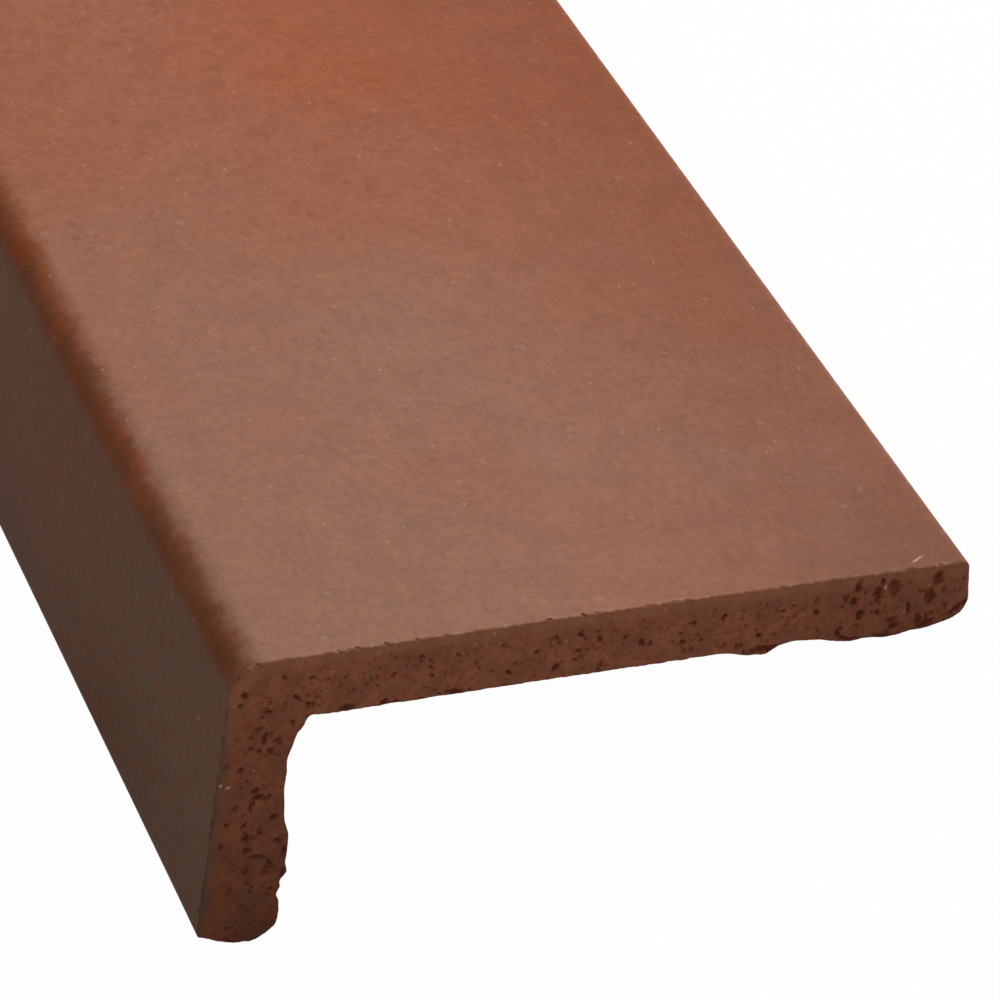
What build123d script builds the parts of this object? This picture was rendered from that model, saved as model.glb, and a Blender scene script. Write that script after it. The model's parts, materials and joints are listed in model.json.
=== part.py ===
"""Clinker step tread: one extruded and fired ceramic piece of L section.

A flat tread plate carries a shorter leg that turns down over the front of a step.
The section is drawn as laid: X runs from the nose to the back of the tread, Z is up,
and the sharp corner where the top face and the front face would meet is the zero point.
It is extruded along Y and then set down as the loose piece lies on a level floor,
on the toe of its leg and the lower back edge of its tread.
All sizes are in millimetres and all angles in degrees.
"""

import os
from math import asin, atan2, cos, degrees, hypot, radians, tan

from build123d import *

# Overall sizes of the piece
length = 240.0
tread_depth = 115.0
leg_height = 53.5

# Wall thicknesses
tread_thickness = 11.0
leg_thickness = 11.0

# Nose between the top face and the front face, and the corner inside the angle
nose_radius = 5.5
inside_radius = 3.0

# Back edge of the tread: it leans out towards the underside
back_lean = 2.2
back_top_radius = 1.2
back_foot_radius = 3.5

# Foot of the leg: it slopes down from the front face to a rounded toe
foot_angle = 22.0
foot_front_radius = 1.2
toe_radius = 3.5


def toe_centre():
    """Centre of the toe's arc, which touches the inner face and the leg's full height."""
    return leg_thickness - toe_radius, -(leg_height - toe_radius)


def foot_line(x):
    """Height of the foot's sloping face at depth x: the tangent to the toe's arc at the foot's angle."""
    centre_x, centre_z = toe_centre()
    slope = radians(foot_angle)
    return centre_z - toe_radius / cos(slope) + (centre_x - x) * tan(slope)


def back_line(z):
    """Depth of the leaning back face at height z."""
    return tread_depth - back_lean * z / tread_thickness


def back_foot_centre():
    """Centre of the arc between the leaning back face and the underside."""
    centre_z = back_foot_radius - tread_thickness
    lean_length = hypot(back_lean, tread_thickness) / tread_thickness
    return back_line(centre_z) - back_foot_radius * lean_length, centre_z


def section():
    """The L section as laid: its sharp outline, then an arc at each corner."""
    corners = {
        "nose": ((0, 0), nose_radius),
        "back_top": ((tread_depth, 0), back_top_radius),
        "back_foot": ((back_line(-tread_thickness), -tread_thickness), back_foot_radius),
        "inside": ((leg_thickness, -tread_thickness), inside_radius),
        "toe": ((leg_thickness, foot_line(leg_thickness)), toe_radius),
        "foot_front": ((0, foot_line(0)), foot_front_radius),
    }
    with BuildSketch(Plane.XZ) as sketch:
        with BuildLine():
            Polyline(*[point for point, _ in corners.values()], close=True)
        make_face()
        for (x, z), radius in corners.values():
            corner = sketch.vertices().sort_by_distance((x, z))[0]
            fillet(corner, radius)
    return sketch.sketch


def lying_angle():
    """Angle between tread and floor, from the line that touches the arcs of the toe and the back foot."""
    toe_x, toe_z = toe_centre()
    back_x, back_z = back_foot_centre()
    across, up = back_x - toe_x, back_z - toe_z
    return degrees(atan2(up, across) + asin((toe_radius - back_foot_radius) / hypot(across, up)))


def step_tread():
    """The finished piece, lying on the floor with its footprint centred on the origin."""
    laid = extrude(section(), amount=length / 2, both=True)
    lying = Rot(Y=lying_angle()) * laid
    box = lying.bounding_box()
    return Pos(-box.center().X, -box.center().Y, -box.min.Z) * lying


os.makedirs("parts", exist_ok=True)
export_step(step_tread(), "parts/step_tread.step")
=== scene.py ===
"""Clinker step tread: a fired clay angle with a flat tread, a rounded nose and a short front leg.

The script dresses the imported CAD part. It stands a worked mesh of the same section in the plain solid's
place, with the pits, torn marks and broken arrises of clay that was cut by a wire, and gives it unglazed
fired finishes. The section is worked out as laid: the zero point is the sharp corner above the nose at the
near end, X runs to the back of the tread, Y along its length and Z up. It is then leaned over to lie where
the CAD part lies.
"""

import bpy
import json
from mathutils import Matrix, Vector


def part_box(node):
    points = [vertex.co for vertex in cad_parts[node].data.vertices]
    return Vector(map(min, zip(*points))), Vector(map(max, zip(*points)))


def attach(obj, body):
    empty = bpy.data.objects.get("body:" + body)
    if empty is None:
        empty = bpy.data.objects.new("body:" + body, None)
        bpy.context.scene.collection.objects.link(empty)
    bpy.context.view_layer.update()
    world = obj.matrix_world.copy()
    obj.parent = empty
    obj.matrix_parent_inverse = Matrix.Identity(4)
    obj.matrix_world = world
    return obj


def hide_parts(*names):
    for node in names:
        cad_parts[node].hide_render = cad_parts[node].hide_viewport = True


bl_info = {
    "name": "Clinker Step Tread",
    "version": (1, 0, 0),
    "blender": (4, 5, 0),
    "location": "View3D > Sidebar > Step Tread",
    "description": "Dresses the packed clinker step tread with cut ends, worn arrises and fired finishes",
    "category": "Object",
}

import json
from functools import cached_property
from math import atan2, cos, pi, radians, sin, tan

import bpy
import numpy as np
from bpy.props import FloatProperty, FloatVectorProperty, IntProperty, PointerProperty
from bpy.types import Operator, Panel, PropertyGroup
from mathutils import Matrix, Vector

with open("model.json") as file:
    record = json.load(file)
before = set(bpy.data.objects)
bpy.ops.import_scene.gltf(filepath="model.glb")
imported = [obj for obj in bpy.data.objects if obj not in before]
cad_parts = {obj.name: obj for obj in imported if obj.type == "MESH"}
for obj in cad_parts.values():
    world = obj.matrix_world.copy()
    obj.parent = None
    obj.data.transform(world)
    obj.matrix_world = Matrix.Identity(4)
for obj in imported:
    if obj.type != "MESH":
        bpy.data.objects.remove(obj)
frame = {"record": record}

MM = 0.001
NODE = "step_tread"
LOW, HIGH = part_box(NODE)
SENSOR_WIDTH_MM = 36.0
TREAD_DEPTH = 115 * MM

# How far the pits stay shallow behind an edge, the bedding side's look fades in, and worn arrises reach
CLOSED_EDGE = 0.8 * MM
BED_FADE = 1.5 * MM
WEAR_REACH = 0.7 * MM

# Points that measure the leaned section, and how far its width may be from the CAD part's
OUTLINE_SAMPLES = 4000
WIDTH_TOLERANCE = 0.2 * MM


def srgb(red, green, blue):
    """Linear colour of an 8-bit sRGB colour, with full alpha."""
    shares = [value / 255 for value in (red, green, blue)]
    return [s / 12.92 if s <= 0.04045 else ((s + 0.055) / 1.055) ** 2.4 for s in shares] + [1.0]


def number_property(name, description, default, **settings):
    """A plain number."""
    return FloatProperty(name=name, description=description, default=default, **settings)


def count_property(name, description, default):
    """A whole number."""
    return IntProperty(name=name, description=description, default=default)


def length_property(name, description, default):
    """A length in metres, shown in the scene's units."""
    return number_property(name, description, default, min=0.0, unit="LENGTH", precision=5)


def angle_property(name, description, degrees):
    """An angle, given in degrees and kept in radians."""
    return number_property(name, description, radians(degrees), unit="ROTATION")


def colour_property(name, description, *tint):
    """A colour with alpha, from its red, green and blue in 8-bit sRGB."""
    return FloatVectorProperty(
        name=name, description=description, default=srgb(*tint), size=4, subtype="COLOR", min=0, max=1
    )


class TreadSection(PropertyGroup):
    """Section of the tread as it is laid, the same as the CAD part's."""

    tread_depth: length_property("Tread Depth", "From the front face to the top back edge", TREAD_DEPTH)
    leg_height: length_property("Leg Height", "From the top face down to the toe", 53.5 * MM)
    tread_thickness: length_property("Tread Thickness", "Thickness of the tread plate", 11 * MM)
    leg_thickness: length_property("Leg Thickness", "Thickness of the leg", 11 * MM)
    nose_radius: length_property("Nose Radius", "Rounding between the top and the front face", 5.5 * MM)
    inside_radius: length_property("Inside Radius", "Rounding inside the angle", 3 * MM)
    back_lean: length_property("Back Lean", "How far the back edge stands out at the underside", 2.2 * MM)
    back_top_radius: length_property("Back Top Radius", "Arris of the top and the back edge", 1.2 * MM)
    back_foot_radius: length_property("Back Foot Radius", "Arris of the back edge and underside", 3.5 * MM)
    foot_angle: angle_property("Foot Angle", "Slope of the foot from the front face to the toe", 22)
    foot_front_radius: length_property("Foot Front Radius", "Arris of the front face and the foot", 1.2 * MM)
    toe_radius: length_property("Toe Radius", "Rounding of the toe inside the leg", 3.5 * MM)
    crown: length_property("Crown", "Rise of the top face between its edges", 0.3 * MM)
    wave: length_property("Wave", "Height of the long waves that drying leaves", 0.05 * MM)


class CutEnds(PropertyGroup):
    """Wire-cut ends of the tread."""

    leg_cells: count_property("Leg Cells", "Mesh cells along the leg at the near end", 248)
    plate_cells: count_property("Plate Cells", "Mesh cells along the plate at the near end", 560)
    wall_cells: count_property("Wall Cells", "Mesh cells across the wall at the near end", 56)
    arris: length_property("Arris", "Rounding where a cut end meets a face", 0.12 * MM)
    chip: length_property("Chip", "Usual size of a chip out of that edge", 0.42 * MM)
    deepest_chip: length_property("Deepest Chip", "Most that a chip takes off that edge", 0.5 * MM)
    pit: length_property("Pit", "Usual radius of a pit", 0.34 * MM)
    grain: length_property("Grain", "Height of the torn grain", 0.06 * MM)
    dense: length_property("Dense Zone", "Dense clay under the outer faces, with few pits", 2.4 * MM)
    pits: count_property("Pits", "Pits in the near end", 600)
    chips: count_property("Chips", "Chips along the near end's edge", 130)
    seed: count_property("Seed", "Start of the random draws", 11)


class ClayColours(PropertyGroup):
    """Colours of the fired clay."""

    tread_grey: colour_property("Tread Grey", "Top face where the kiln left it greyer", 148, 104, 84)
    tread_red: colour_property("Tread Red", "Top face where the kiln left it redder", 158, 84, 52)
    # The nose colours are partly the nose's redder clay and partly painted shade, darker where the nose turns
    # away from the lamp
    nose: colour_property("Nose", "Burnt band round the nose", 122, 68, 38)
    nose_red_and_shade: colour_property("Nose Red", "Redder flames in the burnt band", 144, 66, 27)
    front_grey: colour_property("Front Grey", "Front face near the cut end", 112, 83, 66)
    front_red: colour_property("Front Red", "Front face further along", 118, 75, 56)
    dense: colour_property("Dense Clay", "Cut clay just under the top face", 145, 90, 64)
    dense_leg: colour_property("Dense Leg", "Cut clay just under the front face", 124, 82, 62)
    core: colour_property("Core", "Clay inside the wall, seen on the cut ends", 147, 87, 61)
    core_burnt: colour_property("Burnt Core", "Darker patches in the cut clay", 128, 65, 41)
    # Painted shade for the pits, gouges and chips of the cut ends, and for their inner edge
    pit: colour_property("Pit", "Bottom of a pit", 88, 38, 17)
    bed: colour_property("Bed", "Underside and inner face of the leg", 146, 92, 68)
    # The pale colour also serves the painted highlights on the gouges' rims
    pale: colour_property("Pale Speck", "Pale mineral specks and fresh chips", 206, 170, 148)
    dark: colour_property("Dark Speck", "Dark mineral specks", 84, 46, 34)


class StudioStage(PropertyGroup):
    """Floor, light and camera. The camera's aim and angles are given to the tread as it is laid."""

    floor_colour: colour_property("Floor", "Pale floor and background", 250, 250, 249)
    floor_reach: length_property("Floor Reach", "From the middle of the floor to its edges", 6.0)
    floor_glow: number_property("Floor Glow", "Share of the floor's look that stays white", 0.98)
    fill: number_property("Fill", "Strength of the light from all round", 0.3)
    key: number_property("Key", "Power of the soft lamp in watts", 64.0, unit="POWER")
    key_distance: length_property("Key Distance", "From the middle of the tread to the lamp", 2.6)
    key_size: length_property("Key Size", "Side of the square lamp", 1.8)
    key_height: angle_property("Key Height", "Lamp's angle above the floor", 32)
    key_turn: angle_property("Key Turn", "Lamp's angle from the back edge's side towards the far end", 20)
    aim_across: length_property("Aim Across", "Aimed point's distance from the nose", 51.06 * MM)
    aim_along: length_property("Aim Along", "Aimed point's distance from the near end", 27.95 * MM)
    distance: length_property("Camera Distance", "From the camera to the aimed point", 639.6 * MM)
    azimuth: angle_property("Azimuth", "Camera's turn from the length towards the back edge", 28.177)
    elevation: angle_property("Elevation", "Camera's angle above the tread's plane", 36.664)
    roll: angle_property("Roll", "Camera's roll", 10.213)
    lens: number_property("Lens", "Focal length in millimetres", 157.85, unit="CAMERA")


# Large odd numbers that mix the bits of a lattice cell and of a seed
CELL_MIX = np.array([73856093, 19349663, 83492791])
SEED_MIX, FIRST_MIX, SECOND_MIX = 2654435761, 1274126177, 2246822519


def hashed(cells, seed):
    """A fixed random number in -1 to 1 for each whole-number cell, from shifted and multiplied bits."""
    mixed = cells @ CELL_MIX + seed * SEED_MIX
    mixed = (mixed ^ (mixed >> 13)) * FIRST_MIX & 0xFFFFFFFF
    mixed = (mixed ^ (mixed >> 16)) * SECOND_MIX & 0xFFFFFFFF
    return ((mixed ^ (mixed >> 15)) & 0xFFFFFF) / 0x7FFFFF - 1.0


def smooth_noise(points, size, seed):
    """Smooth random field in -1 to 1: random values at the corners of a lattice of the given size, blended
    by the smoothstep 3t^2 - 2t^3 of the place inside the cell. A coordinate that the points lack is 0."""
    place = np.pad(points, ((0, 0), (0, 3 - points.shape[1]))) / size
    cell = np.floor(place).astype(np.int64)
    share = place - cell
    share = share * share * (3 - 2 * share)
    total = 0.0
    for corner in np.ndindex(2, 2, 2):
        weight = np.prod(np.where(np.array(corner) == 1, share, 1 - share), axis=-1)
        total = total + weight * hashed(cell + np.array(corner), seed)
    return total


def layered_noise(points, seed, *layers):
    """Sum of smooth noises, each given by its height, its size in millimetres and its step from the seed."""
    return sum(height * smooth_noise(points, size * MM, seed + step) for height, size, step in layers)


def outline_pieces(corners, radii):
    """Lines and arcs of a closed outline whose sharp corners are each rounded by an arc touching both sides.

    One row per piece, an arc and then a line for each corner: length, start x and z, heading, curvature."""
    corners, radii = np.array(corners), np.array(radii)
    side = np.roll(corners, -1, axis=0) - corners
    heading = np.arctan2(side[:, 1], side[:, 0])
    arriving = np.roll(heading, 1)
    turn = (heading - arriving + pi) % (2 * pi) - pi
    cut = radii * np.tan(np.abs(turn) / 2)
    arc_start = corners - cut[:, None] * np.column_stack([np.cos(arriving), np.sin(arriving)])
    line_start = corners + cut[:, None] * np.column_stack([np.cos(heading), np.sin(heading)])
    line_length = np.hypot(*side.T) - cut - np.roll(cut, -1)
    arcs = np.column_stack([radii * np.abs(turn), arc_start, arriving, np.sign(turn) / radii])
    lines = np.column_stack([line_length, line_start, heading, np.zeros(len(radii))])
    return np.stack([arcs, lines], axis=1).reshape(-1, 5)


def walk_outline(pieces, distance):
    """Points and outward normals of the outline at the distances walked along it.

    On a piece of curvature k the chord after a walk s is s * sin(ks/2) / (ks/2), at the starting heading
    plus ks/2; the outward normal is a left turn from the heading, because the outline runs clockwise."""
    ends = np.cumsum(pieces[:, 0])
    distance = distance % ends[-1]
    which = np.minimum(np.searchsorted(ends, distance, side="right"), len(pieces) - 1)
    _, x, z, heading, curve = pieces[which].T
    gone = distance - (ends - pieces[:, 0])[which]
    chord = gone * np.sinc(curve * gone / (2 * pi))
    bearing = heading + curve * gone / 2
    facing = heading + curve * gone
    point = np.column_stack([x + chord * np.cos(bearing), z + chord * np.sin(bearing)])
    return point, np.column_stack([-np.sin(facing), np.cos(facing)])


# Numbers of the section's corners in walking order, of which 4 is the one inside the angle. Each has an arc
# and then the line to the next corner.
FOOT_FRONT, NOSE, BACK_TOP, BACK_FOOT, TOE = 0, 1, 2, 3, 5
TOP_FACE = 2 * NOSE + 1


def section_pieces(s):
    """Outline of the L section, clockwise from the front arris of the foot, from the CAD part's sizes."""
    toe_x, toe_z = s.leg_thickness - s.toe_radius, s.toe_radius - s.leg_height
    toe_low = toe_z - s.toe_radius / cos(s.foot_angle)

    def foot(x):
        """Point of the foot's sloping face at depth x."""
        return x, toe_low + (toe_x - x) * tan(s.foot_angle)

    corners = {
        foot(0): s.foot_front_radius,
        (0, 0): s.nose_radius,
        (s.tread_depth, 0): s.back_top_radius,
        (s.tread_depth + s.back_lean, -s.tread_thickness): s.back_foot_radius,
        (s.leg_thickness, -s.tread_thickness): s.inside_radius,
        foot(s.leg_thickness): s.toe_radius,
    }
    return outline_pieces(list(corners), list(corners.values()))


class LyingPlace:
    """Carries points from the tread as laid to where the CAD part lies.

    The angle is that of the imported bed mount's axis, which is the normal of the underside. The leaned
    outline's lowest point then goes to the floor, and the middle of its box to the CAD box's middle."""

    def __init__(self, sizes):
        bed = next(mount for mount in frame["record"]["mounts"] if mount["name"] == "tread_bed")
        self.angle = atan2(-bed["axis"][0], -bed["axis"][2])
        pieces = section_pieces(sizes)
        outline, _ = walk_outline(pieces, np.linspace(0, pieces[:, 0].sum(), OUTLINE_SAMPLES))
        turned = self.turn(np.insert(outline, 1, 0.0, axis=1))
        low, high = turned.min(axis=0), turned.max(axis=0)
        self.shift = np.array([(LOW.x + HIGH.x) / 2 - (low[0] + high[0]) / 2, LOW.y, LOW.z - low[2]])
        width, cad_width = high[0] - low[0], HIGH.x - LOW.x
        if abs(width - cad_width) > WIDTH_TOLERANCE:
            raise RuntimeError(f"the section is {width:.5f} m wide and the CAD part {cad_width:.5f} m")

    def turn(self, points):
        """Leans points about the Y axis: x cos a + z sin a, y, -x sin a + z cos a."""
        x, y, z = np.asarray(points).T
        c, s = cos(self.angle), sin(self.angle)
        return np.column_stack([x * c + z * s, y, z * c - x * s])

    def place(self, points):
        """Leans points and sets them down."""
        return self.turn(points) + self.shift


# Torn and swollen places of the faces at the near end: section x and z, half width along the outline, reach
# along the length, and height, all in millimetres. A negative height is a hollow.
TORN_MARKS = (
    (12.75, -11.25, 0.75, 30.0, -0.45),
    (11.75, -12.0, 0.6, 30.0, 0.15),
    (11.2, -12.9, 1.1, 30.0, 0.47),
    (11.0, -18.6, 2.6, 10.0, -0.75),
    (11.0, -23.6, 3.4, 10.0, -0.6),
    (11.0, -33.6, 2.6, 7.0, 1.06),
    (11.0, -37.2, 2.4, 7.0, 1.1),
    (11.0, -40.6, 1.9, 6.0, 1.5),
    (11.0, -43.4, 1.0, 5.0, 0.85),
    (11.0, -46.2, 1.6, 7.0, 1.02),
    (11.0, -47.9, 1.0, 6.0, 0.3),
    (11.0, -49.6, 2.2, 8.0, 1.35),
    (26.0, -11.0, 20.0, 14.0, 0.1),
    (81.4, -11.0, 2.8, 5.0, 1.1),
    (84.2, -11.0, 1.5, 5.0, 0.85),
    (88.0, -11.0, 2.8, 6.0, -0.3),
    (97.0, -11.0, 3.4, 7.0, 1.05),
    (104.0, -11.0, 4.6, 9.0, 1.45),
    (110.0, -11.0, 2.5, 8.0, 0.6),
)

# Torn gouges and cracks in the near end: section x and z, half length, half width, depth, all in
# millimetres, and the direction of the length in degrees from the x axis. The last 12 break its inner rim.
GOUGES = (
    (95.4, -3.7, 1.57, 0.87, 0.37, 84),
    (97.1, -1.9, 1.68, 0.95, 0.46, 110),
    (96.9, -4.5, 1.68, 0.87, 0.54, 92),
    (101, -1.5, 1.23, 0.63, 0.51, 90),
    (100.6, -4.1, 2.46, 0.8, 0.6, 98),
    (103.3, -2.9, 2.69, 1.34, 0.44, 106),
    (98.4, -7.8, 0.64, 0.78, 0.44, 0),
    (101.2, -7.2, 0.77, 0.73, 0.44, 40),
    (106.3, -7.3, 1.68, 0.48, 0.39, 106),
    (108.3, -9.8, 1.9, 0.8, 0.47, 109),
    (110, -9.6, 1.68, 0.52, 0.33, -48),
    (104.6, -10.2, 1.46, 0.87, 0.47, 28),
    (110.4, -2.4, 2.24, 1.08, 0.54, 100),
    (109.6, -5.4, 2.35, 0.95, 0.51, 92),
    (112, -5, 1.12, 0.69, 0.3, 116),
    (1.9, -7.6, 0.57, 0.59, 0.32, 60),
    (1, -18.6, 1.1, 0.85, 0.33, 10),
    (6.3, -9.3, 0.92, 0.62, 0.38, 5),
    (9.9, -11.6, 0.69, 0.78, 0.43, 80),
    (5.3, -12.2, 0.92, 0.5, 0.33, 4),
    (6.3, -14, 1.5, 0.78, 0.46, 82),
    (8.5, -14.6, 0.8, 0.53, 0.36, 12),
    (5.8, -16.2, 0.69, 0.78, 0.38, 20),
    (7.5, -16.4, 1, 0.71, 0.38, 84),
    (3.2, -19.3, 0.69, 0.62, 0.36, 70),
    (6, -23.7, 1, 0.85, 0.39, 25),
    (6.6, -25.2, 1.7, 0.65, 0.41, 12),
    (5.7, -26.6, 1.4, 0.59, 0.38, 100),
    (7.9, -25.4, 1.3, 0.5, 0.32, 58),
    (2.2, -29.2, 0.57, 0.65, 0.38, 0),
    (1.6, -33.3, 0.63, 0.71, 0.38, 0),
    (5.6, -32.8, 1.1, 0.93, 0.46, 64),
    (6, -35.1, 1.1, 1.1, 0.46, -20),
    (10.4, -34, 1, 0.65, 0.41, 4),
    (7.6, -36.8, 2.5, 0.53, 0.39, -12),
    (9.9, -38.3, 1.5, 0.59, 0.46, -55),
    (6.1, -38.9, 0.92, 0.62, 0.32, 30),
    (10.6, -43.2, 0.57, 0.62, 0.39, 60),
    (4, -42.4, 1.3, 0.56, 0.22, 70),
    (6.8, -46.8, 0.92, 0.62, 0.24, 60),
    (83.3, -11.1, 3.8, 1.1, 0.5, 8),
    (97.5, -11.6, 3.8, 0.7, 0.42, -8),
    (103.2, -12.2, 3.4, 0.8, 0.42, 2),
    (109.6, -10.9, 3, 0.7, 0.38, 22),
    (114.6, -9, 2.6, 0.8, 0.42, 35),
    (18, -10.5, 1.9, 0.9, 0.38, 5),
    (25, -10.8, 1.8, 0.5, 0.32, 0),
    (34.3, -10.6, 2.1, 0.7, 0.38, 0),
    (11.7, -36.2, 1.7, 0.55, 0.38, 80),
    (12.1, -40.6, 2, 0.65, 0.42, 88),
    (11.9, -44.5, 1.6, 0.65, 0.42, 100),
    (7, -53, 4.2, 0.55, 0.36, -20),
)


class CutEnd:
    """One wire-cut end: a grid over the section, with how deep each point lies behind the end's plane."""

    def __init__(self, sizes, ends, place, halvings, marks, gouges, seed):
        self.rng = np.random.default_rng(seed)
        self.seed = seed
        cells = (ends.leg_cells, ends.plate_cells, ends.wall_cells)
        self.legs, self.plates, self.walls = (count >> halvings for count in cells)
        self.columns = self.legs + self.plates
        counts = (self.legs, self.plates, self.walls, self.plates, self.legs, self.walls)
        self.pieces = section_pieces(sizes)
        self.total = self.pieces[:, 0].sum()
        self.middles = self.arc_middles()
        spans = zip(self.middles, self.middles[1:], counts)
        self.walk = np.concatenate([np.linspace(a, b, count, endpoint=False) for a, b, count in spans])
        self.marks = marks
        self.outline, self.normals = walk_outline(self.pieces, self.walk)
        self.edge = self.outline + self.normals * face_relief(self, sizes, place, 0.0)[:, None]
        self.grid = self.cover()
        self.radius = self.broken_arris(ends)
        self.pits = self.pit_field(ends, gouges)
        sides = self.inside_sides()
        nearest = np.minimum.reduce([inside + 0 * edge for inside, edge in sides])
        closed = np.clip(nearest / CLOSED_EDGE, 0.15, 1)
        arris = self.arris_depth(sides)
        self.depth = arris + closed * self.pits + self.torn_grain(ends)
        # Depth of the pits, gouges and chips, by which the cut clay gets its painted shade
        self.hollows = self.pits + np.clip(arris - 2 * ends.arris, 0, None)
        self.ring_depth = self.depth.ravel()[self.ring_index()]

    def arc_middles(self):
        """Distances to the middle of each rounded corner, from the foot's front arris back to itself."""
        ends = np.cumsum(self.pieces[:, 0])
        middles = (ends - self.pieces[:, 0] / 2)[::2]
        return np.append(middles, middles[0] + ends[-1])

    def away_from(self, place):
        """Distance of each outline point from a place on the outline, walked the shorter way round."""
        return np.abs((self.walk - place + self.total / 2) % self.total - self.total / 2)

    def ring_index(self):
        """Grid points of the outline in walking order: front and top, back, underside and inner leg, foot."""
        index = np.arange((self.walls + 1) * (self.columns + 1)).reshape(self.walls + 1, -1)
        return np.concatenate([index[0, :-1], index[:-1, -1], index[-1, :0:-1], index[:0:-1, 0]])

    def four_sides(self, ring):
        """Values round the outline, as those of the grid's outer, inner, back and foot side."""
        n, w = self.columns, self.walls
        ring = np.concatenate([ring, ring[:1]])
        return ring[: n + 1], ring[n + w : 2 * n + w + 1][::-1], ring[n : n + w + 1], ring[2 * n + w :][::-1]

    def cover(self):
        """Grid over the section: straight lines across the wall from the outer to the inner outline, bent
        near the foot and the back so that their ends follow those two short sides."""
        n, w = self.columns, self.walls
        outer, inner, back, foot = self.four_sides(self.edge)
        along = np.arange(n + 1)[None, :, None]
        across = (np.arange(w + 1) / w)[:, None, None]
        grid = (1 - across) * outer + across * inner
        for side, corners, steps in ((foot, 0, along), (back, -1, n - along)):
            straight = grid[:, corners]
            grid = grid + np.clip(1 - steps / w, 0, 1) ** 2 * (side - straight)[:, None]
        return grid

    def broken_arris(self, ends):
        """Radius of the arris along the outline: a small rounding that wanders, and parabolic chips, which
        are shallow along the back edge, the underside and the inner leg."""
        wander = layered_noise(self.walk[:, None], self.seed, (0.5, 0.7, 0), (0.3, 3, 1))
        radius = ends.arris * (1 + wander)
        places = self.rng.uniform(0, self.total, ends.chips)
        widths = ends.chip * self.rng.lognormal(0.35, 0.5, ends.chips)
        depths = ends.chip * self.rng.lognormal(-0.35, 0.5, ends.chips)
        shallow = (places > self.middles[BACK_TOP]) & (places < self.middles[TOE])
        depths = depths.clip(0, ends.deepest_chip) * np.where(shallow, 0.15, 1.0)
        for place, width, depth in zip(places, widths, depths):
            away = self.away_from(place)
            chip = depth * np.clip(1 - (away / width) ** 2, 0, 1) + ends.arris * (away < width)
            radius = np.maximum(radius, chip)
        return radius

    def inside_sides(self):
        """For each of the four sides: every grid point's distance inside it, and its arris radius."""
        n, w = self.columns, self.walls
        wall = np.hypot(*(self.grid[-1] - self.grid[0]).T)
        cell = np.hypot(*(self.grid[0, 1:] - self.grid[0, :-1]).T).mean()
        across = (np.arange(w + 1) / w)[:, None]
        along = np.arange(n + 1)[None, :]
        outer, inner, back, foot = self.four_sides(self.radius)
        return (
            (across * wall, outer[None, :]),
            ((1 - across) * wall, inner[None, :]),
            (along * cell + 0 * across, foot[:, None]),
            ((n - along) * cell + 0 * across, back[:, None]),
        )

    def arris_depth(self, sides):
        """Quarter-round arris round the grid: at a distance d inside an edge of radius r, the depth is
        r - sqrt(r^2 - (r - d)^2)."""
        depth = np.zeros(self.grid.shape[:2])
        for inside, edge in sides:
            left = np.clip(1 - inside / edge, 0, 1)
            depth = np.maximum(depth, edge * (1 - np.sqrt(1 - left * left)))
        return depth

    def warped(self):
        """Grid points pushed about by small noise, so that pits and gouges get ragged outlines."""
        flat = self.grid.reshape(-1, 2)
        fine, wide = (0.27 * MM, 0.5, 0), (0.34 * MM, 1.6, 5)
        return flat + np.column_stack([layered_noise(flat, self.seed + step, fine, wide) for step in (2, 3)])

    def random_pits(self, ends):
        """One row for each pit: x, z, half length, half width, depth, direction. Pits gather in groups, and
        most keep off the dense clay under the top and front."""
        rng, n, pits = self.rng, self.columns, ends.pits
        cell = (self.total / 2) / n
        # A third of the pits lie anywhere along the wall, and the others near the middles of their groups
        groups = rng.integers(0, n, pits // 5)
        middle = groups[rng.integers(0, len(groups), pits)] + rng.normal(0, 1.8 * MM / cell, pits)
        column = np.where(rng.random(pits) < 0.35, rng.uniform(0, n, pits), middle).clip(0, n).astype(int)
        # A few pits lie anywhere across the wall, and the others behind its outer quarter
        core = rng.random(pits) >= 0.08
        anywhere, deeper = rng.random(pits), 0.24 + 0.76 * rng.beta(1.2, 1.05, pits)
        row = (self.walls * np.where(core, deeper, anywhere)).astype(int)
        radius = ends.pit * rng.lognormal(-0.1, 0.45, pits).clip(0.4, 2.1)
        stretch = rng.uniform(1.0, 1.5, pits)
        depth = radius * rng.uniform(0.35, 0.75, pits)
        lengths = [radius * stretch, radius / stretch ** 0.5, depth]
        return np.column_stack([self.grid[row, column], *lengths, rng.uniform(0, pi, pits)])

    def pit_field(self, ends, gouges):
        """Depth of pits and gouges: each is a bowl depth * (1 - q^2)^2 inside its ellipse q < 1, and the
        deepest one counts."""
        hollows = self.random_pits(ends)
        if gouges:
            torn = np.array(gouges, float)
            hollows = np.vstack([hollows, np.column_stack([torn[:, :5] * MM, np.radians(torn[:, 5])])])
        points = self.warped()
        field = np.zeros(len(points))
        for x, z, half_length, half_width, depth, angle in hollows:
            near = np.flatnonzero(np.abs(points - (x, z)).max(axis=1) < max(half_length, half_width))
            away = points[near] - (x, z)
            along = (away[:, 0] * cos(angle) + away[:, 1] * sin(angle)) / half_length
            across = (away[:, 1] * cos(angle) - away[:, 0] * sin(angle)) / half_width
            bowl = depth * np.clip(1 - along ** 2 - across ** 2, 0, 1) ** 2
            field[near] = np.maximum(field[near], bowl)
        return field.reshape(self.grid.shape[:2])

    def torn_grain(self, ends):
        """Fine torn grain of the cut clay: three sizes of noise, rougher in the core than near the top."""
        layers = (0.5, 0.45, 20), (0.8, 1.1, 21), (1.2, 4, 22)
        rough = layered_noise(self.grid.reshape(-1, 2), self.seed, *layers)
        core = np.clip(np.arange(self.walls + 1) / self.walls / 0.25, 0.45, 1)[:, None]
        return ends.grain * core * (1.2 + rough.reshape(self.grid.shape[:2]))


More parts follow.
